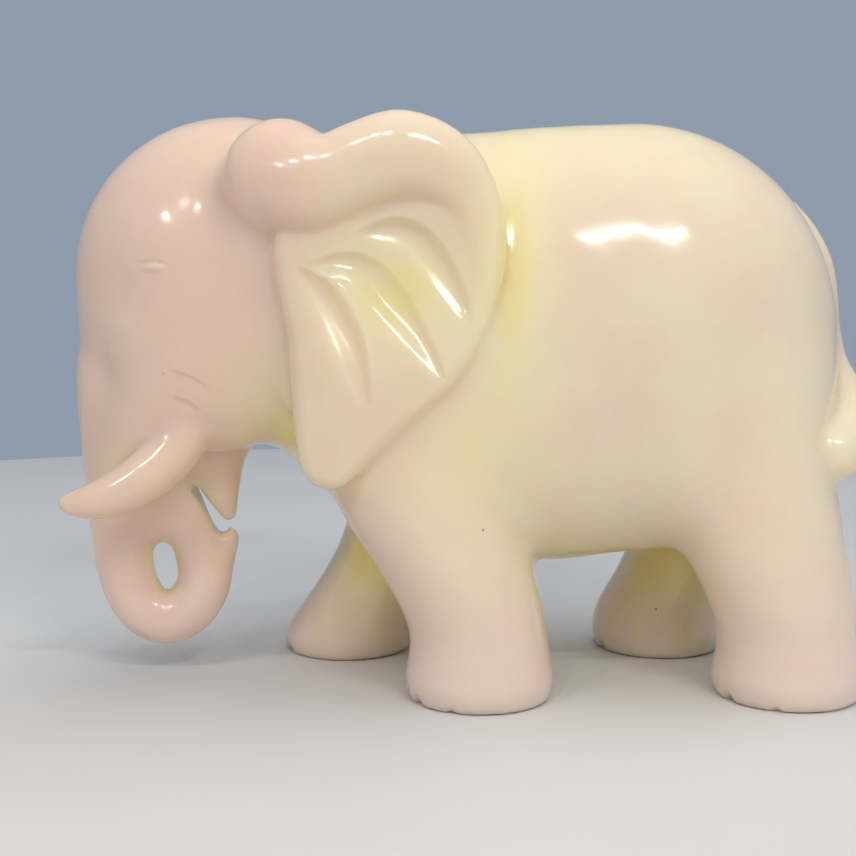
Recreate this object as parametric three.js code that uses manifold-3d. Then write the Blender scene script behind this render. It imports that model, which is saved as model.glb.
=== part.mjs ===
// Standing elephant carved from one block of pale jade, in millimetres, +Z up.
// It faces -X, its left side is -Y, and its four soles stand on Z = 0.
import * as THREE from "three";
import { mergeVertices } from "three/addons/utils/BufferGeometryUtils.js";
import Module from "manifold-3d";

// Barrel: sections along X with the height of the back, of the belly, and the half width
const BARREL = [
  { x: -72, back: 150, belly: 80, half: 31 },
  { x: -58, back: 155, belly: 68, half: 36 },
  { x: -44, back: 157, belly: 56, half: 39.5 },
  { x: -22, back: 158, belly: 46, half: 43 },
  { x: 0, back: 159.3, belly: 38, half: 45.5 },
  { x: 20, back: 161, belly: 34.3, half: 46.5 },
  { x: 45, back: 162, belly: 36.8, half: 46.5 },
];
const RUMP_LENGTH = 60.5;

// Legs: one radius profile by height, each leg swinging from its hip to its foot within a bend
const LEG_PROFILE = [
  { z: 0, r: 19.8 },
  { z: 6, r: 20.8 },
  { z: 13, r: 19.7 },
  { z: 20, r: 19.3 },
  { z: 30, r: 20.6 },
  { z: 40, r: 22.4 },
  { z: 55, r: 24.6 },
  { z: 72, r: 25.2 },
  { z: 88, r: 24 },
  { z: 104, r: 18 },
];
const FOOT_SPREAD = 28;
const SPREAD_FROM = 20;
const FORE_HIP_SPREAD = 17;
const HIND_HIP_SPREAD = 14;
const LEGS = [
  { side: -1, hipX: -20, footX: -0.6, hipY: FORE_HIP_SPREAD, bend: [13, 72] },
  { side: -1, hipX: 74, footX: 86.5, hipY: HIND_HIP_SPREAD, bend: [10, 70] },
  { side: 1, hipX: -16, footX: -39.5, hipY: FORE_HIP_SPREAD, bend: [0, 48] },
  { side: 1, hipX: 72, footX: 60.3, hipY: HIND_HIP_SPREAD, bend: [10, 36] },
];
const GRIND_DEPTH = 6;

// Head, cheeks, palate and the web over the hole in the trunk's curl: centre and half sizes
const HEAD = { at: [-70.5, 0, 117.3], size: [46.4, 35, 46.3] };
const CHEEK = { at: [-77, 15, 94], size: [23, 14.5, 25] };
const PALATE = { at: [-84, 0, 72], size: [13, 11, 15] };
const WEB = { at: [-93.5, 0, 55.5], size: [12.5, 11, 16] };

// Limbs of round section: stations of x, y, z and radius along the middle line
const TRUNK = [
  [-86, 0, 122, 23],
  [-96.5, 0, 104, 21],
  [-98.8, 0, 88, 19],
  [-101, 0, 72, 16],
  [-103.3, 0, 56, 12.6],
  [-105.3, 0, 42, 9.3],
  [-104.6, 0, 30, 8.3],
  [-100.5, 0, 20.5, 8],
  [-93.5, 0, 16.2, 7.9],
  [-85.8, 0, 19.5, 7.9],
  [-81.3, 0, 28, 7.9],
  [-82.6, 0, 37, 7.7],
  [-84.6, 0, 45, 6],
  [-85.5, 0, 52, 5],
  [-87, 0, 60, 6],
  [-88, 0, 66, 8],
];
const FINGER = [
  [-81.5, 0, 30, 6.5],
  [-76.8, 0, 36, 4.8],
  [-74.4, 0, 40.2, 3.3],
];
const JAW = [
  [-71, 0, 80, 9.5],
  [-75, 0, 67, 6.6],
  [-76.3, 0, 57, 5.8],
  [-75.6, 0, 52, 4.4],
  [-74.4, 0, 48.6, 2.8],
  [-73.4, 0, 46.9, 1.2],
];
const TUSK = [
  [-78, 17, 84, 7],
  [-82, 20.5, 76, 7.2],
  [-87.5, 23, 67.5, 7.4],
  [-96, 25.5, 60.5, 6.9],
  [-105.5, 26, 56, 5.6],
  [-113, 25, 54.6, 3.8],
  [-116, 24.5, 54.6, 2.4],
];
const TAIL = [
  [92, 0, 137, 3.2],
  [96.8, 0, 131, 3.6],
  [100.8, 0, 122.4, 4.3],
  [102.4, 0, 113, 4.7],
  [103, 0, 102, 5.2],
  [104.6, -0.5, 92, 6],
  [107, -4.5, 83, 7.6],
  [108, -12, 76, 10.4],
  [103, -22, 71.5, 9.6],
  [97.5, -29.5, 69, 8],
];

// Ears: a plate on three circles of the XZ plane, a fat roll along its top and three flutes in its face
const EAR_CIRCLES = [
  { x: -27, z: 122, r: 29.5 },
  { x: -28, z: 104, r: 24.8 },
  { x: -42, z: 69.4, r: 8.8 },
];
const EAR_MIDDLE = { x: -28, z: 106 };
const EAR_INNER = 28;
const EAR_TIP_THINNED = 12;
const EAR_OUTER = 50;
const EAR_FRONT_DROP = 5.5;
const EAR_FRONT_FROM = -58;
const EAR_FRONT_TO = -34;
const EAR_TIP_DROP = 2;
const EAR_TIP_FROM = 66;
const EAR_TIP_TO = 96;
const EAR_EDGE = 3.6;
const DISH = { x: -24, z: 117, rx: 23, rz: 24, depth: 4.5 };
const ROLL_FLATTENED = 1 / 1.3;
const ROLL = [
  [-54.2, 36, 143.4, 15.4],
  [-46.5, 41.5, 141.6, 13.2],
  [-39.5, 43.5, 143, 11.4],
  [-31, 44, 146.6, 11.2],
  [-22, 44.2, 148.6, 11.4],
  [-12, 44.2, 145.6, 9.9],
  [-4.5, 44.4, 138.5, 7.4],
  [-0.5, 44.8, 129, 5.6],
  [0.3, 45.2, 119, 4.4],
  [-2, 45.2, 108, 3.6],
  [-6.5, 45.2, 97, 3],
  [-13, 45, 88, 2.6],
];
const FLUTE_RADIUS = 5.5;
const FLUTE_DEPTH = 2.2;
const FLUTES = [
  [[-34, 128.5], [-21, 128], [-12, 118.5], [-4, 104]],
  [[-47, 120.5], [-33, 119], [-22.5, 107.5], [-10.5, 89]],
  [[-50, 120], [-42, 110.5], [-36, 98.5], [-31, 83]],
];

// How finely the round forms are cut
const BODY_SEGMENTS = 28;
const LEG_SEGMENTS = 18;
const TRUNK_SEGMENTS = 12;
const LIMB_SEGMENTS = 10;
const EAR_SEGMENTS = 32;

const wasm = await Module();
wasm.setup();

function smoothStep(from, to, value) {
  const t = THREE.MathUtils.clamp((value - from) / (to - from), 0, 1);
  return t * t * (3 - 2 * t);
}

// A cubic through knots at uneven spacing, with slopes taken from the neighbours
function easeThrough(knots, values, at) {
  const last = knots.length - 1;
  let i = 0;
  while (i < last - 1 && at > knots[i + 1]) {
    i += 1;
  }
  const slope = (k) => {
    const a = Math.max(k - 1, 0);
    const b = Math.min(k + 1, last);
    return (values[b] - values[a]) / (knots[b] - knots[a]);
  };
  const span = knots[i + 1] - knots[i];
  const t = THREE.MathUtils.clamp((at - knots[i]) / span, 0, 1);
  const t2 = t * t;
  const t3 = t2 * t;
  const ends = (2 * t3 - 3 * t2 + 1) * values[i] + (3 * t2 - 2 * t3) * values[i + 1];
  const slopes = (t3 - 2 * t2 + t) * slope(i) + (t3 - t2) * slope(i + 1);
  return ends + slopes * span;
}

// A closed surface as a solid: coincident vertices merged, collapsed faces dropped, faces turned outwards
function solid(geometry) {
  const bare = geometry.clone();
  bare.deleteAttribute("normal");
  bare.deleteAttribute("uv");
  const merged = mergeVertices(bare, 1e-3);
  const at = merged.attributes.position;
  const index = merged.index.array;
  const a = new THREE.Vector3();
  const b = new THREE.Vector3();
  const c = new THREE.Vector3();
  const faces = [];
  let volume = 0;
  for (let i = 0; i < index.length; i += 3) {
    const [ia, ib, ic] = [index[i], index[i + 1], index[i + 2]];
    if (ia === ib || ib === ic || ic === ia) {
      continue;
    }
    a.fromBufferAttribute(at, ia);
    b.fromBufferAttribute(at, ib);
    c.fromBufferAttribute(at, ic);
    volume += a.dot(b.cross(c));
    faces.push([ia, ib, ic]);
  }
  const outward = volume > 0 ? faces : faces.map(([p, q, r]) => [p, r, q]);
  return new wasm.Manifold(
    new wasm.Mesh({
      numProp: 3,
      vertProperties: Float32Array.from(at.array),
      triVerts: Uint32Array.from(outward.flat()),
    }),
  );
}

// A turned blank of numbered rings, first and last on the axis, each vertex then put in place
function ringed(count, segments, place) {
  const profile = [];
  for (let ring = 0; ring < count; ring++) {
    const onAxis = ring === 0 || ring === count - 1;
    profile.push(new THREE.Vector2(onAxis ? 0 : 1, ring));
  }
  const blank = new THREE.LatheGeometry(profile, segments);
  const at = blank.attributes.position;
  for (let i = 0; i < at.count; i++) {
    const ring = Math.round(at.getY(i));
    const angle = Math.atan2(at.getZ(i), at.getX(i));
    const point = place(ring, angle);
    at.setXYZ(i, point.x, point.y, point.z);
  }
  return blank;
}

// The barrel of the body, closing behind as an ellipsoid and ending in front inside the head
function barrel() {
  const knots = BARREL.map((s) => s.x);
  const backs = BARREL.map((s) => s.back);
  const bellies = BARREL.map((s) => s.belly);
  const halves = BARREL.map((s) => s.half);
  const last = knots[knots.length - 1];
  const rows = [{ x: knots[0], scale: 0 }];
  for (let x = knots[0]; x < last; x += 9.75) {
    rows.push({ x, scale: 1 });
  }
  const turns = 9;
  for (let i = 0; i <= turns; i++) {
    const angle = (Math.PI / 2) * (i / turns);
    rows.push({ x: last + RUMP_LENGTH * Math.sin(angle), scale: Math.cos(angle) });
  }
  return ringed(rows.length, BODY_SEGMENTS, (ring, angle) => {
    const { x, scale } = rows[ring];
    const back = easeThrough(knots, backs, x);
    const belly = easeThrough(knots, bellies, x);
    const half = easeThrough(knots, halves, x) * scale;
    const middle = (back + belly) / 2;
    const tall = ((back - belly) / 2) * scale;
    return new THREE.Vector3(x, half * Math.sin(angle), middle + tall * Math.cos(angle));
  });
}

// A leg: the shared profile, its rings shifted from hip to foot, running on below the floor
function leg({ side, hipX, footX, hipY, bend }) {
  const knots = LEG_PROFILE.map((s) => s.z);
  const radii = LEG_PROFILE.map((s) => s.r);
  const top = knots[knots.length - 1];
  const rows = [{ z: -GRIND_DEPTH, scale: 0 }, { z: -GRIND_DEPTH, scale: 1 }];
  for (const z of [0, 3, 6, 10, 15, 22, 31, 40, 50, 62, 74, 86, 95, top]) {
    rows.push({ z, scale: 1 });
  }
  rows.push({ z: top, scale: 0 });
  return ringed(rows.length, LEG_SEGMENTS, (ring, angle) => {
    const { z, scale } = rows[ring];
    const r = easeThrough(knots, radii, z) * scale;
    const x = footX + (hipX - footX) * smoothStep(bend[0], bend[1], z);
    const y = FOOT_SPREAD + (hipY - FOOT_SPREAD) * smoothStep(SPREAD_FROM, top, z);
    return new THREE.Vector3(x + r * Math.cos(angle), side * y + r * Math.sin(angle), z);
  });
}

// A rounded lump of the head, set off to one side
function lump({ at, size }, side, segments) {
  const ball = new THREE.SphereGeometry(1, segments, Math.round(segments * 0.7));
  ball.scale(...size);
  ball.translate(at[0], at[1] * side, at[2]);
  return ball;
}

// A limb of round section along a curve, rounded off at both ends; flat narrows it across
function limb(stations, steps, segments, side = 1, flat = 1) {
  const points = stations.map(([x, y, z]) => new THREE.Vector3(x, y * side, z));
  const widths = stations.map((s) => new THREE.Vector3(s[3], 0, 0));
  const path = new THREE.CatmullRomCurve3(points, false, "catmullrom", 0.5);
  const width = new THREE.CatmullRomCurve3(widths, false, "catmullrom", 0.5);
  const across = new THREE.Vector3(0, 1, 0);
  const rows = [];
  const addRow = (t, polar, towards) => {
    const radius = width.getPoint(t).x;
    const tangent = path.getTangent(t);
    const centre = path.getPoint(t).addScaledVector(tangent, towards * radius * Math.cos(polar));
    const sideways = across.clone().addScaledVector(tangent, -tangent.dot(across)).normalize();
    const upward = tangent.clone().cross(sideways);
    rows.push({ centre, sideways, upward, radius: radius * Math.sin(polar) });
  };
  const polars = [0, Math.PI / 5, Math.PI / 3];
  polars.forEach((polar) => addRow(0, polar, -1));
  const spans = (stations.length - 1) * steps;
  for (let i = 0; i <= spans; i++) {
    addRow(i / spans, Math.PI / 2, 0);
  }
  polars.reverse().forEach((polar) => addRow(1, polar, 1));
  return ringed(rows.length, segments, (ring, angle) => {
    const { centre, sideways, upward, radius } = rows[ring];
    return centre
      .clone()
      .addScaledVector(upward, radius * Math.cos(angle))
      .addScaledVector(sideways, radius * flat * Math.sin(angle));
  });
}

// Distance in the ear's plane from its outline, the hull of neighbouring circles, negative inside
function earOutline(x, z) {
  let nearest = Infinity;
  for (let i = 0; i + 1 < EAR_CIRCLES.length; i++) {
    const a = EAR_CIRCLES[i];
    const b = EAR_CIRCLES[i + 1];
    const axis = new THREE.Vector2(b.x - a.x, b.z - a.z);
    const length = axis.length();
    const offset = new THREE.Vector2(x - a.x, z - a.z);
    const along = offset.dot(axis) / length;
    const away = Math.abs(offset.cross(axis)) / length;
    const taper = Math.asin((a.r - b.r) / length);
    const foot = THREE.MathUtils.clamp(along - away * Math.tan(taper), 0, length);
    const radius = a.r + ((b.r - a.r) * foot) / length;
    nearest = Math.min(nearest, Math.hypot(along - foot, away) - radius);
  }
  return nearest;
}

// How far the ear reaches from its middle in one direction
function earReach(angle) {
  let reach = 0;
  for (let i = 0; i < 60; i++) {
    const x = EAR_MIDDLE.x + reach * Math.cos(angle);
    const z = EAR_MIDDLE.z + reach * Math.sin(angle);
    reach -= earOutline(x, z);
  }
  return reach;
}

// How far out the ear's face stands: lower at the front and the tip, dished in the middle
function earFace(x, z) {
  const front = EAR_FRONT_DROP * (1 - smoothStep(EAR_FRONT_FROM, EAR_FRONT_TO, x));
  const tip = EAR_TIP_DROP * (1 - smoothStep(EAR_TIP_FROM, EAR_TIP_TO, z));
  const u = (x - DISH.x) / DISH.rx;
  const v = (z - DISH.z) / DISH.rz;
  return EAR_OUTER - front - tip - DISH.depth * Math.exp(-u * u - v * v);
}

// The ear's plate: flat towards the body, its face following earFace, its edge rounded
function earPlate(side) {
  const rows = [{ share: 0, back: true }, { share: 1, back: true }];
  for (const turn of [0, 45, 90]) {
    const angle = THREE.MathUtils.degToRad(turn);
    const inset = EAR_EDGE * (1 - Math.cos(angle));
    rows.push({ share: 1, inset, drop: EAR_EDGE * (1 - Math.sin(angle)) });
  }
  for (const share of [0.82, 0.64, 0.46, 0.28, 0]) {
    rows.push({ share, inset: EAR_EDGE, drop: 0 });
  }
  const tip = EAR_CIRCLES[EAR_CIRCLES.length - 1];
  const tipAngle = Math.atan2(tip.z - EAR_MIDDLE.z, tip.x - EAR_MIDDLE.x);
  return ringed(rows.length, EAR_SEGMENTS, (ring, turn) => {
    const { share, inset = 0, drop = 0, back = false } = rows[ring];
    const angle = tipAngle + turn;
    const reach = (earReach(angle) - inset) * share;
    const x = EAR_MIDDLE.x + reach * Math.cos(angle);
    const z = EAR_MIDDLE.z + reach * Math.sin(angle);
    const thinned = EAR_TIP_THINNED * (1 - smoothStep(EAR_TIP_FROM, EAR_TIP_TO, z));
    const out = back ? EAR_INNER + thinned : earFace(x, z) - drop;
    return new THREE.Vector3(x, side * out, z);
  });
}

// The cutter of one flute: a round bar that dips into the ear's face and comes out again
function fluteCutter(route, side) {
  const flatPath = new THREE.CatmullRomCurve3(
    route.map(([x, z]) => new THREE.Vector3(x, 0, z)),
    false,
    "catmullrom",
    0.5,
  );
  const steps = 12;
  const points = [];
  for (let i = 0; i <= steps; i++) {
    const { x, z } = flatPath.getPoint(i / steps);
    const dip = FLUTE_DEPTH * Math.pow(Math.sin((Math.PI * i) / steps), 0.7);
    points.push(new THREE.Vector3(x, side * (earFace(x, z) + FLUTE_RADIUS - dip), z));
  }
  const section = new THREE.Shape();
  section.absarc(0, 0, FLUTE_RADIUS, 0, Math.PI * 2, false);
  return new THREE.ExtrudeGeometry(section, {
    steps: 9,
    curveSegments: 6,
    bevelEnabled: false,
    extrudePath: new THREE.CatmullRomCurve3(points),
  });
}

// An ear: plate and roll joined, then fluted
function ear(side) {
  const joined = solid(earPlate(side)).add(solid(limb(ROLL, 2, LIMB_SEGMENTS, side, ROLL_FLATTENED)));
  return FLUTES.reduce((work, route) => work.subtract(solid(fluteCutter(route, side))), joined);
}

// The whole carving in one block, ground flat under the feet
function carving() {
  let work = solid(barrel());
  for (const placed of LEGS) {
    work = work.add(solid(leg(placed)));
  }
  work = work.add(solid(lump(HEAD, 1, 25)));
  work = work.add(solid(lump(PALATE, 1, 12)));
  work = work.add(solid(lump(WEB, 1, 12)));
  work = work.add(solid(limb(TRUNK, 2, TRUNK_SEGMENTS)));
  for (const stations of [FINGER, JAW, TAIL]) {
    work = work.add(solid(limb(stations, 2, LIMB_SEGMENTS)));
  }
  for (const side of [-1, 1]) {
    work = work.add(solid(lump(CHEEK, side, 14)));
    work = work.add(solid(limb(TUSK, 2, LIMB_SEGMENTS, side)));
    work = work.add(ear(side));
  }
  const floor = new THREE.BoxGeometry(400, 400, 4 * GRIND_DEPTH);
  floor.translate(0, 0, -2 * GRIND_DEPTH);
  return work.subtract(solid(floor));
}

function geometryOf(work) {
  const { vertProperties, triVerts } = work.getMesh();
  const geometry = new THREE.BufferGeometry();
  geometry.setAttribute("position", new THREE.BufferAttribute(vertProperties, 3));
  geometry.setIndex(new THREE.BufferAttribute(triVerts, 1));
  geometry.computeVertexNormals();
  return geometry;
}

const jade = new THREE.MeshStandardMaterial({ color: 0xe6d9b8, roughness: 0.25 });
const elephant = new THREE.Mesh(geometryOf(carving()), jade);
elephant.name = "elephant";

const group = new THREE.Group();
group.add(elephant);

export default group;
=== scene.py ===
import math

import bmesh
import bpy
import numpy as np
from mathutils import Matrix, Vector


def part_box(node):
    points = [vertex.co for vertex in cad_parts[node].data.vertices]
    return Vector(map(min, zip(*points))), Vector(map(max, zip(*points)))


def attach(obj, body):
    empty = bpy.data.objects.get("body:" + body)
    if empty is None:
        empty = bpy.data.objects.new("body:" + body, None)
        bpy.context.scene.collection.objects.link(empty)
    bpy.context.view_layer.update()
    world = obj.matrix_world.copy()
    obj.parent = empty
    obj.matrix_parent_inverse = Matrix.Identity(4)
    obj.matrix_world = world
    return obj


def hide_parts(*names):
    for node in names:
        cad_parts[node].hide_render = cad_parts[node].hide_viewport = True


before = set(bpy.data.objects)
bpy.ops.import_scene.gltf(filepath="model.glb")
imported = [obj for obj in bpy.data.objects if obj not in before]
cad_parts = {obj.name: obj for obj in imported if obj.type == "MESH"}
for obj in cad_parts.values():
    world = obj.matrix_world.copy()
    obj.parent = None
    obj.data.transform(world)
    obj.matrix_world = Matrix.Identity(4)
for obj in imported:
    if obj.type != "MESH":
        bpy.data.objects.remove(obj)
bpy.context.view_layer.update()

MM = 0.001

# Barrel: x, height of the back, height of the belly, half width
BARREL = [
    (-72, 150, 80, 31),
    (-58, 155, 68, 36),
    (-44, 157, 56, 39.5),
    (-22, 158, 46, 43),
    (0, 159.3, 38, 45.5),
    (20, 161, 34.3, 46.5),
    (45, 162, 36.8, 46.5),
]
RUMP_LENGTH = 60.5
SECTION_POWER = 2.15

# Legs: height and radius of the shared profile, then each leg's hip, foot and bend
LEG_PROFILE = [
    (0, 19.8),
    (6, 20.8),
    (13, 19.7),
    (20, 19.3),
    (30, 20.6),
    (40, 22.4),
    (55, 24.6),
    (72, 25.2),
    (88, 24),
    (104, 18),
]
LEG_SLANT = 0.88
FOOT_SPREAD = 28
SPREAD_FROM = 20
FORE_HIP_SPREAD = 17
HIND_HIP_SPREAD = 14
LEGS = [
    dict(side=-1, hip_x=-20, foot_x=-0.6, hip_y=FORE_HIP_SPREAD, bend=(13, 72)),
    dict(side=-1, hip_x=74, foot_x=86.5, hip_y=HIND_HIP_SPREAD, bend=(10, 70)),
    dict(side=1, hip_x=-16, foot_x=-39.5, hip_y=FORE_HIP_SPREAD, bend=(0, 48)),
    dict(side=1, hip_x=72, foot_x=60.3, hip_y=HIND_HIP_SPREAD, bend=(10, 36)),
]

# Head, cheeks, palate and the web over the hole in the trunk's curl: centre and half sizes
HEAD = ((-70.5, 0, 117.3), (46.4, 35, 46.3))
CHEEK = ((-77, 15, 94), (23, 14.5, 25))
PALATE = ((-84, 0, 72), (13, 11, 15))
WEB = ((-93.5, 0, 55.5), (12.5, 11, 16))

# Limbs of round section: x, y, z and radius along the middle line
TRUNK = [
    (-86, 0, 122, 23),
    (-94.8, 0, 104, 19.6),
    (-98.8, 0, 88, 19),
    (-101, 0, 72, 16),
    (-103.3, 0, 56, 12.6),
    (-105.3, 0, 42, 9.3),
    (-104.6, 0, 30, 8.3),
    (-100.5, 0, 20.5, 8),
    (-93.5, 0, 16.2, 7.9),
    (-85.8, 0, 19.5, 7.9),
    (-81.3, 0, 28, 7.9),
    (-82.6, 0, 37, 7.7),
    (-84.6, 0, 45, 6),
    (-85.5, 0, 52, 5),
    (-87, 0, 60, 6),
    (-88, 0, 66, 8),
]
FINGER = [
    (-81.5, 0, 30, 6.5),
    (-76.8, 0, 36, 4.8),
    (-74.4, 0, 40.2, 3.3),
]
JAW = [
    (-71, 0, 80, 9.5),
    (-75, 0, 67, 6.6),
    (-76.3, 0, 57, 5.8),
    (-75.6, 0, 52, 4.4),
    (-74.4, 0, 48.6, 2.8),
    (-73.4, 0, 46.9, 1.2),
]
SHEATH = [
    (-82, 14, 92, 13),
    (-92, 13, 77, 12),
    (-100, 10, 64, 8),
]
TUSK = [
    (-78, 17, 84, 7),
    (-82, 20.5, 76, 7.2),
    (-87.5, 23, 67.5, 7.4),
    (-96, 25.5, 60.5, 6.9),
    (-105.5, 26, 56, 5.6),
    (-113, 25, 54.6, 3.8),
    (-116, 24.5, 54.6, 2.4),
]
TAIL = [
    (92, 0, 137, 3.2),
    (96.8, 0, 131, 3.6),
    (100.8, 0, 122.4, 4.3),
    (102.4, 0, 113, 4.7),
    (103, 0, 102, 5.2),
    (104.6, -0.5, 92, 6),
    (107, -4.5, 83, 7.6),
    (108, -12, 76, 10.4),
    (103, -22, 71.5, 9.6),
    (97.5, -29.5, 69, 8),
]

# Slit between the trunk's tip and the pointed lip, in the XZ plane: x, y, z and half width
SLIT = [
    (-83.8, 0, 56.4, 1.0),
    (-81.6, 0, 52.8, 1.2),
    (-79, 0, 48.4, 1.6),
    (-76.2, 0, 43.6, 2.0),
]
SLIT_REACH = 16

# Ears: circles of the plate in the XZ plane, the roll along its top and the flutes in its face
EAR_CIRCLES = [
    (-27, 0, 122, 29.5),
    (-28, 0, 104, 24.8),
    (-42, 0, 69.4, 8.8),
]
EAR_INNER = 28
EAR_TIP_THINNED = 12
EAR_OUTER = 50
EAR_FRONT_DROP = 5.5
EAR_FRONT = (-58, -34)
EAR_TIP_DROP = 2
EAR_TIP = (66, 96)
EAR_EDGE = 4.6
DISH_AT = (-25, 120)
DISH_SIZE = (23, 24)
DISH_DEPTH = 6.5
ROLL_MIDDLE = 44
ROLL_FLATTENED = 1.3
ROLL_SLANT = 0.85
ROLL = [
    (-54.2, 36, 143.4, 15.4),
    (-46.5, 41.5, 141.6, 13.2),
    (-39.5, 43.5, 143, 11.4),
    (-31, 44, 146.6, 11.2),
    (-22, 44.2, 148.6, 11.4),
    (-12, 44.2, 145.6, 9.9),
    (-4.5, 44.4, 138.5, 7.4),
    (-0.5, 44.8, 129, 5.6),
    (0.3, 45.2, 119, 4.4),
    (-2, 45.2, 108, 3.6),
    (-6.5, 45.2, 97, 3),
    (-13, 45, 88, 2.6),
]
FLUTE_HALF = 5.0
FLUTE_DEPTH = 2.4
FLUTE_LIP = 0.5
FLUTES = [
    [(-34, 128.5), (-21, 128), (-12, 118.5), (-4, 104)],
    [(-47, 120.5), (-33, 119), (-22.5, 107.5), (-10.5, 89)],
    [(-50, 120), (-42, 110.5), (-36, 98.5), (-31, 83)],
]

# Fine carving of the face, in the XZ plane of each side
EYE = (-89.5, 120.0)
EYE_HALF = (2.5, 1.15)
EYE_RISE = 0.6
LID_DEPTH = 0.5
LID_WIDTH = 0.5
TEMPLE = (-98, 112)
TEMPLE_SIZE = 9
TEMPLE_DEPTH = 1.0
SHEATH_LINES = [
    [(-86, 92.2), (-79.5, 90), (-75, 87)],
    [(-85, 84.6), (-81, 83.2), (-77.5, 80.4)],
]
SHEATH_DEPTH = 0.6
SHEATH_WIDTH = 1.1

# Chips along the soles, under the trunk and at the left tusk's tip: x, y, z and radius
CHIPS = [
    (-18.6, -37.8, 0.6, 2.3),
    (-21.2, -30.5, 3.2, 1.5),
    (-9.5, -46.2, 0.2, 1.7),
    (67.3, -35.6, 0.8, 2.2),
    (65.2, -29.5, 4.6, 1.3),
    (78.5, -46.4, 0.0, 1.6),
    (-58.4, 20.5, 0.6, 1.9),
    (41.4, 21.6, 0.8, 1.8),
    (-99.2, -5.2, 10.6, 1.7),
    (-117.6, -26.6, 52.6, 1.3),
]

# Painted glow: where the colour is turned yellow to stand for light gathered in the stone: centre, half
# sizes and strength
PAINTED_GLOWS = [
    ((-24, -45, 113), (21, 8, 19), 0.8),
    ((-24, 45, 113), (21, 8, 19), 0.8),
    ((7, -40, 118), (11, 30, 42), 0.8),
    ((7, 40, 118), (11, 30, 42), 0.8),
    ((-6, -38, 72), (16, 14, 20), 0.7),
    ((-52, -20, 80), (15, 20, 20), 0.95),
    ((-52, 20, 80), (15, 20, 20), 0.9),
    ((28, 0, 34), (42, 34, 13), 1.0),
    ((-28, 10, 40), (26, 17, 30), 1.0),
    ((64, 10, 42), (26, 17, 30), 1.0),
    ((20, 0, 160), (46, 30, 20), 0.7),
]

# How softly the forms run into each other
BARREL_FRONT_BLEND = 4.0
LEG_BLEND = 10
LEG_TOP_BLEND = 10
CHEEK_BLEND = 14
PALATE_BLEND = 6
JAW_BLEND = 5
SHEATH_BLEND = 8
SLIT_BLEND = 0.8
FINGER_BLEND = 2.5
WEB_BLEND = 5
TRUNK_BLEND = 5
TRUNK_BLEND_FROM = (88, 106)
TUSK_ROOT_BLEND = 7
TUSK_ROOT_FROM = (64, 76)
TUSK_ROOT_TO = (80, 96)
MOUTH_BLEND = 1
TUSK_BLEND = 2.5
NECK_BLEND = 7
ROLL_BLEND = 1.2
EAR_BLEND = 1.6
EAR_ROOT_BLEND = 9
EAR_ROOT = (44, 34)
TAIL_BLEND = 2.5
SOLE_BLEND = 1.4
CHIP_BLEND = 0.5

# Hand-worked unevenness of the polished surface
WAVE_HEIGHT = 0.05
WAVE_LENGTH = 15.0

# Mesh: cell of the grid, and the finer zones around ears, eyes and tusk roots
CELL = 1.6
COARSE = 4
GRID_MARGIN = 5.0
GRID_PARTS = 8
FAR = 1e3
CORNERS = [(i, j, k) for i in (0, 1) for j in (0, 1) for k in (0, 1)]

# How far out the openness of the surface is felt, and how often it is evened out
OPEN_REACH = (4.0, 9.0, 16.0)
OPEN_ROUNDS = 4


def smooth_step(start, end, value):
    t = np.clip((value - start) / (end - start), 0.0, 1.0)
    return t * t * (3.0 - 2.0 * t)


# Smooth union of two distances
def join(a, b, blend):
    h = np.clip(0.5 + 0.5 * (b - a) / blend, 0.0, 1.0)
    return b + (a - b) * h - blend * h * (1.0 - h)


# Smooth intersection of two distances
def meet(a, b, blend):
    return -join(-a, -b, blend)


# A cubic through knots at uneven spacing, with slopes taken from the neighbours
def ease_through(knots, values, at):
    slopes = np.gradient(values)
    slopes[1:-1] = (values[2:] - values[:-2]) / (knots[2:] - knots[:-2])
    slopes[0] = (values[1] - values[0]) / (knots[1] - knots[0])
    slopes[-1] = (values[-1] - values[-2]) / (knots[-1] - knots[-2])
    i = np.clip(np.searchsorted(knots, at) - 1, 0, len(knots) - 2)
    span = knots[i + 1] - knots[i]
    t = np.clip((at - knots[i]) / span, 0.0, 1.0)
    t2 = t * t
    t3 = t2 * t
    ends = (2 * t3 - 3 * t2 + 1) * values[i] + (3 * t2 - 2 * t3) * values[i + 1]
    return ends + ((t3 - 2 * t2 + t) * slopes[i] + (t3 - t2) * slopes[i + 1]) * span


# A uniform Catmull-Rom curve through the stations
def spline(stations, steps):
    s = np.array(stations, float)
    ends = np.vstack([2 * s[0] - s[1], s, 2 * s[-1] - s[-2]])
    rows = []
    for i in range(len(s) - 1):
        a, b, c, d = ends[i : i + 4]
        for t in np.arange(steps) / steps:
            bend = (2 * a - 5 * b + 4 * c - d) * t**2 + (3 * b - a - 3 * c + d) * t**3
            rows.append(0.5 * (2 * b + (c - a) * t + bend))
    rows.append(s[-1])
    return np.array(rows)


# Distance to a limb: round cones along the curve
def limb(points, stations, steps=5, margin=16.0):
    path = spline(stations, steps)
    reach = path[:, 3].max() + margin
    low = path[:, :3].min(0) - reach
    high = path[:, :3].max(0) + reach
    near = np.all((points > low) & (points < high), axis=1)
    q = points[near]
    best = np.full(len(q), FAR)
    for a, b in zip(path[:-1], path[1:]):
        axis = b[:3] - a[:3]
        length = np.sqrt(axis @ axis)
        taper = np.clip((a[3] - b[3]) / length, -0.9, 0.9)
        offset = q - a[:3]
        along = offset @ (axis / length)
        away = np.sqrt(np.maximum((offset * offset).sum(1) - along * along, 0.0))
        foot = np.clip(along - away * taper / np.sqrt(1 - taper**2), 0.0, length)
        radius = a[3] + (b[3] - a[3]) * foot / length
        best = np.minimum(best, np.hypot(along - foot, away) - radius)
    distance = np.full(len(points), FAR)
    distance[near] = best
    return distance


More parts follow.
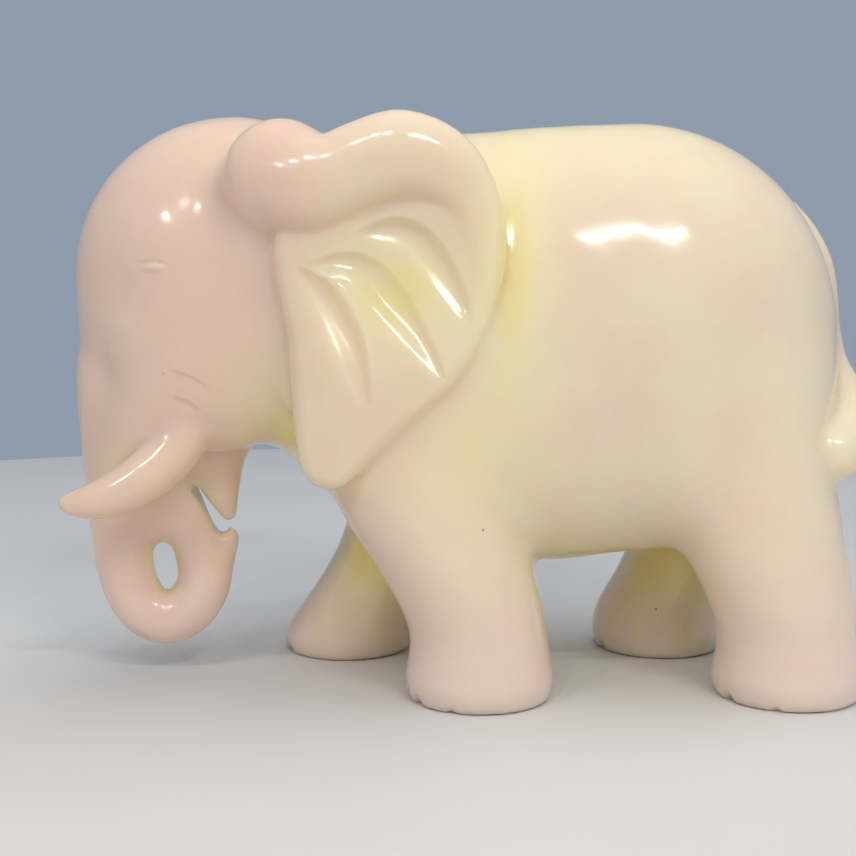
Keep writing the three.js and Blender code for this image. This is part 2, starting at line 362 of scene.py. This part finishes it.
# Distance to a form round along X, with a squarer section across: power 2 is an ellipse
def rounded(u, v, w, size, power):
    m = (np.abs(v) ** power + np.abs(w) ** power) ** (1.0 / power)
    k = np.sqrt(u * u + m * m)
    safe_m = np.maximum(m, 1e-6)
    safe_k = np.maximum(k, 1e-6)
    gx = u / size[0]
    gy = m * (np.abs(v) / safe_m) ** (power - 1) / size[1]
    gz = m * (np.abs(w) / safe_m) ** (power - 1) / size[2]
    steep = np.sqrt(gx * gx + gy * gy + gz * gz) / safe_k
    return (k - 1.0) / np.maximum(steep, 1e-3)


def lump(points, form, power=2.0):
    at, size = np.array(form[0], float), np.array(form[1], float)
    u, v, w = ((points - at) / size).T
    return rounded(u, v, w, size, power)


def barrel(points):
    x, y, z = points.T
    knots, back, belly, half = np.array(BARREL, float).T
    top = ease_through(knots, back, x)
    bottom = ease_through(knots, belly, x)
    wide = ease_through(knots, half, x)
    tall = 0.5 * (top - bottom)
    u = np.maximum(x - knots[-1], 0.0) / RUMP_LENGTH
    body = rounded(u, y / wide, (z - bottom) / tall - 1.0, (RUMP_LENGTH, wide, tall), SECTION_POWER)
    return meet(body, knots[0] - x, BARREL_FRONT_BLEND)


def leg(points, side, hip_x, foot_x, hip_y, bend):
    x, y, z = points.T
    heights, radii = np.array(LEG_PROFILE, float).T
    mid_x = foot_x + (hip_x - foot_x) * smooth_step(bend[0], bend[1], z)
    spread = smooth_step(SPREAD_FROM, heights[-1], z)
    mid_y = side * (FOOT_SPREAD + (hip_y - FOOT_SPREAD) * spread)
    wall = np.hypot(x - mid_x, y - mid_y) - ease_through(heights, radii, z)
    return meet(LEG_SLANT * wall, z - heights[-1], LEG_TOP_BLEND)


# Nearest place on a flat curve: distance, signed by side, and share of the way along
def beside(x, z, route, steps):
    path = spline(route, steps)
    best = np.full(len(x), FAR)
    across = np.zeros(len(x))
    along = np.zeros(len(x))
    for i, (a, b) in enumerate(zip(path[:-1], path[1:])):
        step = b - a
        t = np.clip(((x - a[0]) * step[0] + (z - a[1]) * step[1]) / (step @ step), 0.0, 1.0)
        dx = x - a[0] - t * step[0]
        dz = z - a[1] - t * step[1]
        distance = np.hypot(dx, dz)
        closer = distance < best
        best = np.where(closer, distance, best)
        across = np.where(closer, np.sign(step[0] * dz - step[1] * dx) * distance, across)
        along = np.where(closer, (i + t) / (len(path) - 1), along)
    return across, along


# Depth of the leaf-shaped flutes: a crisp wall above, a long slope below
def flute_depth(x, z):
    depth = np.zeros(len(x))
    for route in FLUTES:
        across, along = beside(x, z, route, 6)
        leaf = np.sin(np.pi * along) ** 0.6
        s = across / (FLUTE_HALF * np.maximum(leaf, 0.05))
        scoop = smooth_step(-1.2, 0.3, s) * (1.0 - smooth_step(0.35, 1.1, s))
        lip = np.exp(-(((s - 1.12) / 0.16) ** 2))
        depth = np.maximum(depth, FLUTE_DEPTH * leaf * scoop) - FLUTE_LIP * leaf * lip
    return depth


# How far out the ear's face stands: lower at the front and the tip, dished and fluted
def ear_face(x, z):
    front = EAR_FRONT_DROP * (1.0 - smooth_step(EAR_FRONT[0], EAR_FRONT[1], x))
    tip = EAR_TIP_DROP * (1.0 - smooth_step(EAR_TIP[0], EAR_TIP[1], z))
    u = (x - DISH_AT[0]) / DISH_SIZE[0]
    v = (z - DISH_AT[1]) / DISH_SIZE[1]
    return EAR_OUTER - front - tip - DISH_DEPTH * np.exp(-u * u - v * v) - flute_depth(x, z)


# Distance to an ear; y counts outwards on both sides
def ear(points):
    x, y, z = points.T
    near = (x > -85) & (x < 15) & (z > 50) & (y > 5)
    q = points[near]
    x, y, z = q.T
    flat = q * np.array([1.0, 0.0, 1.0])
    outline = limb(flat, EAR_CIRCLES, 1, 24.0)
    inner = EAR_INNER + EAR_TIP_THINNED * (1.0 - smooth_step(EAR_TIP[0], EAR_TIP[1], z))
    outer = ear_face(x, z)
    a = outline + EAR_EDGE
    b = np.abs(y - 0.5 * (outer + inner)) - 0.5 * (outer - inner) + EAR_EDGE
    plate = np.hypot(np.maximum(a, 0.0), np.maximum(b, 0.0)) + np.minimum(np.maximum(a, b), 0.0) - EAR_EDGE
    squeeze = np.array([0.0, ROLL_MIDDLE, 0.0])
    stretch = np.array([1.0, ROLL_FLATTENED, 1.0])
    stations = [(*((np.array(s[:3]) - squeeze) * stretch + squeeze), s[3]) for s in ROLL]
    roll = ROLL_SLANT * limb((q - squeeze) * stretch + squeeze, stations)
    distance = np.full(len(points), FAR)
    distance[near] = join(plate, roll, ROLL_BLEND)
    return distance


# Height of the fine carving on the sides of the head, inwards positive
def face_depth(points):
    x, y, z = points.T
    depth = np.zeros(len(points))
    near = (x > -112) & (x < -66) & (z > 72) & (z < 130) & (y > 12)
    x, z = x[near], z[near]
    u = (x - EYE[0]) / EYE_HALF[0]
    v = (z - EYE[1]) / EYE_HALF[1] + 0.12 * u * u
    almond = np.exp(-((u * u + v * v) ** 2))
    lid_v = (z - EYE[1] - EYE_HALF[1] * 1.15 + 0.22 * (u + 0.3) ** 2) / LID_WIDTH
    lid = np.exp(-lid_v * lid_v) * np.exp(-((u + 0.3) / 1.5) ** 4)
    under_v = (z - EYE[1] + EYE_HALF[1] * 1.1 - 0.2 * (u + 0.4) ** 2) / LID_WIDTH
    under = 0.6 * np.exp(-under_v * under_v) * np.exp(-((u + 0.5) / 1.3) ** 4)
    r2 = ((x - TEMPLE[0]) ** 2 + (z - TEMPLE[1]) ** 2) / TEMPLE_SIZE**2
    total = TEMPLE_DEPTH * np.exp(-r2) - EYE_RISE * almond + LID_DEPTH * (lid + under)
    for route in SHEATH_LINES:
        across, along = beside(x, z, route, 5)
        rise = smooth_step(-2.5 * SHEATH_WIDTH, 0.0, across)
        fall = 1.0 - smooth_step(0.0, 0.6 * SHEATH_WIDTH, across)
        total = total + SHEATH_DEPTH * rise * fall * np.sin(np.pi * along) ** 0.5
    depth[near] = total
    return depth


# Low waves left by hand polishing, a sum of a few slanted sines
def waves(points):
    total = np.zeros(len(points))
    for i in range(6):
        turn = 2.4 * i
        way = np.array([math.cos(turn), math.sin(1.7 * turn), math.sin(turn + 0.9)])
        pitch = WAVE_LENGTH * (0.7 + 0.13 * i)
        total += np.sin(points @ way * (2 * math.pi / pitch) + 1.3 * i)
    return total * (WAVE_HEIGHT / 3.0)


# How softly the trunk runs into the head at a height: crisp at the mouth, full over the tusk roots
def trunk_blend(z):
    root = smooth_step(*TUSK_ROOT_FROM, z) * (1.0 - smooth_step(*TUSK_ROOT_TO, z))
    return MOUTH_BLEND + TUSK_ROOT_BLEND * root + TRUNK_BLEND * smooth_step(*TRUNK_BLEND_FROM, z)


# Signed distance to the whole carving
def field(points):
    mirrored = points.copy()
    mirrored[:, 1] = np.abs(mirrored[:, 1])
    z = points[:, 2]
    body = barrel(points)
    for placed in LEGS:
        body = join(body, leg(points, **placed), LEG_BLEND)
    head = join(lump(points, HEAD, SECTION_POWER), lump(mirrored, CHEEK), CHEEK_BLEND)
    head = join(head, lump(points, PALATE), PALATE_BLEND)
    head = join(head, limb(points, JAW, 4), JAW_BLEND)
    trunk = join(limb(points, TRUNK), limb(points, FINGER, 4), FINGER_BLEND)
    trunk = join(trunk, lump(points, WEB), WEB_BLEND)
    head = join(head, trunk, trunk_blend(z))
    head = join(head, limb(mirrored, SHEATH), SHEATH_BLEND)
    slit = limb(points * np.array([1.0, 0.0, 1.0]), SLIT)
    slit = np.maximum(slit, mirrored[:, 1] - SLIT_REACH)
    head = meet(head, -slit, SLIT_BLEND)
    head = head + face_depth(mirrored)
    head = join(head, limb(mirrored, TUSK), TUSK_BLEND)
    body = join(body, head, NECK_BLEND)
    root = EAR_BLEND + EAR_ROOT_BLEND * (1.0 - smooth_step(EAR_ROOT[1], EAR_ROOT[0], mirrored[:, 1]))
    body = join(body, ear(mirrored), root)
    body = join(body, limb(points, TAIL), TAIL_BLEND)
    body = body + waves(points)
    body = meet(body, -z, SOLE_BLEND)
    for x, y, height, radius in CHIPS:
        offset = points - np.array([x, y, height])
        body = meet(body, radius - np.sqrt((offset * offset).sum(1)), CHIP_BLEND)
    return body


# Distances on a regular grid, worked out only near the surface, elsewhere kept as inside or outside
def banded_grid(low, high):
    shape = np.ceil((high - low) / (CELL * COARSE)).astype(int)
    wide = CELL * COARSE
    corners = np.stack(np.meshgrid(*[np.arange(n + 1) for n in shape], indexing="ij"), -1)
    rough = field(corners.reshape(-1, 3) * wide + low).reshape(shape + 1)
    a, b, c = shape
    blocks = np.stack([rough[i : i + a, j : j + b, k : k + c] for i, j, k in CORNERS])
    nearest = np.min(np.abs(blocks), axis=0)
    crossing = (np.min(blocks, axis=0) < 0) & (np.max(blocks, axis=0) > 0)
    close = crossing | (nearest < wide * 1.2)
    fill = np.where(blocks[0] < 0, -FAR, FAR)
    for axis in range(3):
        close = np.repeat(close, COARSE, axis)
        fill = np.repeat(fill, COARSE, axis)
    wanted = np.pad(close, 1)
    needed = np.zeros(shape * COARSE + 1, bool)
    n = needed.shape
    for i, j, k in CORNERS:
        needed |= wanted[i : i + n[0], j : j + n[1], k : k + n[2]]
    values = np.pad(fill, ((0, 1), (0, 1), (0, 1)), mode="edge")
    places = np.argwhere(needed)
    parts = np.array_split(places, GRID_PARTS)
    values[needed] = np.concatenate([field(part * CELL + low) for part in parts])
    return values


# Surface nets: one vertex in each cell that the surface crosses, one face across each crossing edge
def surface_nets(values, low):
    inside = values < 0
    n = np.array(values.shape) - 1
    count = sum(inside[i : i + n[0], j : j + n[1], k : k + n[2]].astype(int) for i, j, k in CORNERS)
    cells = np.argwhere((count > 0) & (count < 8))
    number = np.full(n, -1)
    number[tuple(cells.T)] = np.arange(len(cells))
    total = np.zeros((len(cells), 3))
    hits = np.zeros(len(cells))
    for start in CORNERS:
        for axis in range(3):
            if start[axis] == 1:
                continue
            end = list(start)
            end[axis] = 1
            a = values[tuple((cells + start).T)]
            b = values[tuple((cells + end).T)]
            crossed = (a < 0) != (b < 0)
            share = np.where(crossed, a / np.where(crossed, a - b, 1.0), 0.0)
            place = np.tile(np.array(start, float), (len(cells), 1))
            place[:, axis] += share
            total[crossed] += place[crossed]
            hits[crossed] += 1
    vertices = (cells + total / hits[:, None]) * CELL + low
    faces = []
    for axis in range(3):
        a = np.take(inside, np.arange(n[axis]), axis)
        b = np.take(inside, np.arange(1, n[axis] + 1), axis)
        edges = np.argwhere(a != b)
        leaving = a[tuple(edges.T)]
        u, v = (axis + 1) % 3, (axis + 2) % 3
        ring = []
        for du, dv in ((-1, -1), (0, -1), (0, 0), (-1, 0)):
            cell = edges.copy()
            cell[:, u] += du
            cell[:, v] += dv
            ring.append(number[tuple(cell.T)])
        quads = np.column_stack(ring)
        quads[~leaving] = quads[~leaving][:, ::-1]
        faces.append(quads)
    return vertices, np.vstack(faces)


# Slope of the distance, with the distance itself
def slope(points, reach=0.12):
    here = field(points)
    steep = np.empty_like(points)
    for axis in range(3):
        aside = points.copy()
        aside[:, axis] += reach
        steep[:, axis] = (field(aside) - here) / reach
    return here, steep


# Moves points onto the surface along the slope
def settle(points, rounds, most):
    for _ in range(rounds):
        here, steep = slope(points)
        along = np.clip(here / np.maximum((steep * steep).sum(1), 0.1), -most, most)
        points = points - along[:, None] * steep
    return points


# Whether a face's middle lies where the carving is fine; level 2 is the finest
def fine_zone(middle, level):
    x, y, z = middle
    y = abs(y)
    eye = abs(x - EYE[0]) < 8 and abs(z - EYE[1]) < 5 and y > 20
    sheath = -90 < x < -72 and 77 < z < 95 and y > 18
    if level == 2:
        return eye
    on_ear = y > 40 and -66 < x < 6 and 58 < z < 160
    return eye or sheath or on_ear


def refined(vertices, faces):
    mesh = bpy.data.meshes.new("rough")
    mesh.from_pydata(vertices.tolist(), [], faces.tolist())
    bm = bmesh.new()
    bm.from_mesh(mesh)
    bpy.data.meshes.remove(mesh)
    for level in (1, 2):
        chosen = [f for f in bm.faces if fine_zone(f.calc_center_median(), level)]
        edges = list({e for f in chosen for e in f.edges})
        bmesh.ops.subdivide_edges(bm, edges=edges, cuts=1, use_grid_fill=True)
    return bm


# One round of evening out: each vertex moves part of the way to the mean of its neighbours
def evened(points, edges, share):
    total = np.zeros_like(points)
    count = np.zeros(len(points))
    for a, b in ((0, 1), (1, 0)):
        np.add.at(total, edges[:, a], points[edges[:, b]])
        np.add.at(count, edges[:, a], 1)
    mean = total / np.maximum(count, 1)[:, None]
    return points + share * (mean - points)


# The carving's mesh, settled on the surface, with how open it lies and the painted glow at each vertex
def carving():
    low, high = np.array(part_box("elephant"), float) / MM
    low = low - GRID_MARGIN
    high = high + GRID_MARGIN
    vertices, faces = surface_nets(banded_grid(low, high), low)
    bm = refined(vertices, faces)
    mesh = bpy.data.meshes.new("jade_elephant")
    bm.to_mesh(mesh)
    bm.free()
    count = len(mesh.vertices)
    flat = np.empty(count * 3)
    mesh.vertices.foreach_get("co", flat)
    points = flat.reshape(-1, 3)
    ends = np.empty(len(mesh.edges) * 2, int)
    mesh.edges.foreach_get("vertices", ends)
    edges = ends.reshape(-1, 2)
    points = settle(points, 1, 0.8)
    points = evened(points, edges, 0.5)
    points = settle(points, 2, 0.5)
    _, steep = slope(points)
    normal = steep / np.maximum(np.linalg.norm(steep, axis=1), 1e-6)[:, None]
    shown = [np.clip(field(points + normal * reach) / reach, 0.0, 1.0) for reach in OPEN_REACH]
    marks = {"openness": np.mean(shown, axis=0), "painted_glow": painted_glow(points)}
    for name, value in marks.items():
        for _ in range(OPEN_ROUNDS):
            value = evened(value[:, None], edges, 0.6)[:, 0]
        mesh.attributes.new(name, "FLOAT", "POINT").data.foreach_set("value", value)
    mesh.vertices.foreach_set("co", (points * MM).ravel())
    mesh.polygons.foreach_set("use_smooth", np.ones(len(mesh.polygons), bool))
    mesh.update()
    piece = bpy.data.objects.new("jade_elephant", mesh)
    bpy.context.scene.collection.objects.link(piece)
    return piece


# How strongly the painted glow shows at each point, from 0 to 1: light gathered in the stone, painted as
# yellow
def painted_glow(points):
    dark = np.ones(len(points))
    for at, size, strength in PAINTED_GLOWS:
        offset = (points - np.array(at, float)) / np.array(size, float)
        dark *= 1.0 - strength * np.exp(-(offset * offset).sum(1))
    return 1.0 - dark


class Graph:
    """A material's nodes, made and wired in one line each."""

    def __init__(self, name):
        self.material = bpy.data.materials.new(name)
        self.material.use_nodes = True
        self.tree = self.material.node_tree
        self.tree.nodes.clear()

    def add(self, kind, values=None, **settings):
        node = self.tree.nodes.new(kind)
        for key, value in settings.items():
            setattr(node, key, value)
        for key, value in (values or {}).items():
            socket = node.inputs[key]
            if isinstance(value, bpy.types.NodeSocket):
                self.tree.links.new(value, socket)
            else:
                socket.default_value = value
        return node

    def ramp(self, factor, stops):
        node = self.add("ShaderNodeValToRGB", {"Fac": factor})
        ramp = node.color_ramp
        while len(ramp.elements) < len(stops):
            ramp.elements.new(0.5)
        for element, (place, colour) in zip(ramp.elements, stops):
            element.position = place
            element.color = (*colour, 1.0) if isinstance(colour, tuple) else (colour, colour, colour, 1.0)
        return node.outputs["Color"]

    def mix(self, factor, a, b, blend="MIX"):
        node = self.add("ShaderNodeMix", data_type="RGBA", blend_type=blend)
        for index, value in ((0, factor), (6, a), (7, b)):
            if isinstance(value, bpy.types.NodeSocket):
                self.tree.links.new(value, node.inputs[index])
            elif isinstance(value, tuple):
                node.inputs[index].default_value = (*value, 1.0)
            else:
                node.inputs[index].default_value = value
        return node.outputs[2]

    def math(self, operation, a, b=0.0, clamp=False):
        node = self.add("ShaderNodeMath", {0: a, 1: b}, operation=operation, use_clamp=clamp)
        return node.outputs[0]

    def noise(self, place, scale, detail=2.0, roughness=0.5):
        values = {"Vector": place, "Scale": scale, "Detail": detail, "Roughness": roughness}
        return self.add("ShaderNodeTexNoise", values).outputs["Fac"]


ROSE = (0.82, 0.60, 0.48)
CREAM = (0.86, 0.74, 0.55)
HONEY_GRAIN_AND_PAINTED_GLOW = (0.92, 0.82, 0.47)
PAINTED_GLOW_AMBER = (0.88, 0.70, 0.17)
PAINTED_GLOW_LEAF = (0.84, 0.78, 0.30)
LILAC = (0.84, 0.65, 0.59)
PIT = (0.16, 0.09, 0.05)


# Polished translucent stone: rose and cream clouds, painted honey and leaf-green glow in the hollows and
# where light gathers, small dark pits
def jade_material():
    g = Graph("jade")
    place = g.add("ShaderNodeTexCoord").outputs["Object"]
    x, _, z = g.add("ShaderNodeSeparateXYZ", {0: place}).outputs
    openness = g.add("ShaderNodeAttribute", attribute_name="openness").outputs["Fac"]
    clouds = g.noise(place, 26.0, 3.0, 0.55)
    front = g.add("ShaderNodeMapRange", {"Value": x, "From Min": 0.01, "From Max": -0.07}).outputs[0]
    rosy = g.math("ADD", g.math("MULTIPLY", clouds, 0.9), g.math("MULTIPLY", front, 0.35))
    skin = g.mix(g.ramp(rosy, [(0.35, 0.0), (0.8, 1.0)]), CREAM, ROSE)
    # Painted glow in the hollows: the less open the surface, the more honey and leaf green stand for shade
    # and light gathered there
    painted_hollow_glow = g.math("SUBTRACT", 1.0, openness)
    low = g.add("ShaderNodeMapRange", {"Value": z, "From Min": 0.06, "From Max": 0.01}).outputs[0]
    skin = g.mix(g.math("MULTIPLY", low, 0.7), skin, LILAC)
    # Painted glow: honey and amber colour put where light gathers in the stone
    painted_glow_there = g.add("ShaderNodeAttribute", attribute_name="painted_glow").outputs["Fac"]
    skin = g.mix(painted_glow_there, skin, HONEY_GRAIN_AND_PAINTED_GLOW)
    skin = g.mix(g.ramp(painted_glow_there, [(0.6, 0.0), (1.0, 0.95)]), skin, PAINTED_GLOW_AMBER)
    skin = g.mix(g.ramp(painted_hollow_glow, [(0.15, 0.0), (0.7, 0.45)]), skin, HONEY_GRAIN_AND_PAINTED_GLOW)
    skin = g.mix(g.ramp(painted_hollow_glow, [(0.5, 0.0), (0.9, 0.3)]), skin, PAINTED_GLOW_LEAF)
    grain = g.noise(place, 900.0, 2.0, 0.6)
    skin = g.mix(g.ramp(grain, [(0.3, 0.06), (0.7, 0.0)]), skin, HONEY_GRAIN_AND_PAINTED_GLOW)
    cells = g.add("ShaderNodeTexVoronoi", {"Vector": place, "Scale": 70.0, "Randomness": 1.0})
    lot = g.add("ShaderNodeSeparateColor", {0: cells.outputs["Color"]}).outputs[0]
    rare = g.math("GREATER_THAN", lot, 0.9)
    spot = g.math("MULTIPLY", g.ramp(cells.outputs["Distance"], [(0.018, 1.0), (0.035, 0.0)]), rare)
    skin = g.mix(g.math("MULTIPLY", spot, 0.75), skin, PIT)
    polish = g.ramp(g.noise(place, 60.0, 3.0, 0.6), [(0.3, 0.12), (0.75, 0.21)])
    height = g.math("SUBTRACT", g.math("MULTIPLY", grain, 0.35), g.math("MULTIPLY", spot, 2.0))
    bump = g.add("ShaderNodeBump", {"Height": height, "Strength": 0.35, "Distance": 0.00012}).outputs[0]
    shader = g.add(
        "ShaderNodeBsdfPrincipled",
        {
            "Base Color": skin,
            "Roughness": polish,
            "Normal": bump,
            "IOR": 1.6,
            "Subsurface Weight": 0.85,
            "Subsurface Radius": (1.0, 0.72, 0.36),
            "Subsurface Scale": 0.011,
        },
    )
    g.add("ShaderNodeOutputMaterial", {"Surface": shader.outputs[0]})
    return g.material


# Pale floor with a barely uneven tone
def floor_material():
    g = Graph("pale_floor")
    place = g.add("ShaderNodeTexCoord").outputs["Object"]
    tone = g.ramp(g.noise(place, 6.0, 3.0), [(0.3, (0.70, 0.68, 0.65)), (0.7, (0.74, 0.72, 0.69))])
    shader = g.add("ShaderNodeBsdfPrincipled", {"Base Color": tone, "Roughness": 0.6})
    g.add("ShaderNodeOutputMaterial", {"Surface": shader.outputs[0]})
    return g.material


FLOOR_RADIUS = 0.62


def add_floor():
    bm = bmesh.new()
    bmesh.ops.create_circle(bm, cap_ends=True, segments=128, radius=FLOOR_RADIUS)
    mesh = bpy.data.meshes.new("floor")
    bm.to_mesh(mesh)
    bm.free()
    floor = bpy.data.objects.new("floor", mesh)
    floor.data.materials.append(floor_material())
    bpy.context.scene.collection.objects.link(floor)


def add_area(name, at, towards, size, power, colour, shines=True):
    light = bpy.data.lights.new(name, "AREA")
    light.shape = "DISK"
    light.size = size
    light.energy = power
    light.color = colour
    lamp = bpy.data.objects.new(name, light)
    lamp.location = at
    lamp.rotation_euler = (Vector(towards) - Vector(at)).to_track_quat("-Z", "Y").to_euler()
    lamp.visible_glossy = shines
    bpy.context.scene.collection.objects.link(lamp)


LAMPS = [
    (0.165, -0.70, 0.72),
    (0.275, -0.70, 0.72),
    (0.37, -0.70, 0.715),
    (-0.62, -0.58, 0.56),
    (-0.48, -0.62, 0.68),
    (-0.30, -0.66, 0.80),
    (-0.14, -0.66, 0.80),
]


# Soft light from above and in front, small lamps for the highlights, a pale blue-grey surround
def add_light():
    middle = (0.0, 0.0, 0.09)
    add_area("top_soft", (0.1, 0.05, 1.0), middle, 0.9, 4.1, (1.0, 0.97, 0.92), False)
    add_area("front_soft", (0.45, -1.0, 0.6), middle, 0.9, 2.7, (1.0, 0.95, 0.90), False)
    for i, at in enumerate(LAMPS):
        add_area(f"lamp_{i}", at, middle, 0.03, 0.55, (1.0, 0.97, 0.92))
    world = bpy.data.worlds.new("surround")
    world.use_nodes = True
    background = world.node_tree.nodes["Background"]
    background.inputs["Color"].default_value = (0.46, 0.55, 0.68, 1.0)
    background.inputs["Strength"].default_value = 0.6
    bpy.context.scene.world = world


# Camera: place in metres, focal length and the level line's pixel in the square frame
IMAGE_PIXELS = 856
FOCAL_PIXELS = 1339.0
LEVEL_PIXEL = (399.0, 302.0)
CAMERA_AT = (-0.023, -0.397, 0.1105)


def add_camera():
    data = bpy.data.cameras.new("camera")
    data.sensor_width = 36.0
    data.lens = data.sensor_width * FOCAL_PIXELS / IMAGE_PIXELS
    data.clip_start = 0.01
    half = IMAGE_PIXELS / 2
    down = math.atan((half - LEVEL_PIXEL[1]) / FOCAL_PIXELS)
    aside = math.atan((half - LEVEL_PIXEL[0]) * math.cos(down) / FOCAL_PIXELS)
    ahead = Vector((math.sin(aside) * math.cos(down), math.cos(aside) * math.cos(down), -math.sin(down)))
    camera = bpy.data.objects.new("camera", data)
    camera.location = CAMERA_AT
    camera.rotation_euler = ahead.to_track_quat("-Z", "Y").to_euler()
    bpy.context.scene.collection.objects.link(camera)
    bpy.context.scene.camera = camera


elephant = carving()
elephant.data.materials.append(jade_material())
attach(elephant, "root")
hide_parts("elephant")
add_floor()
add_light()
add_camera()
bpy.context.scene.view_settings.view_transform = "Standard"
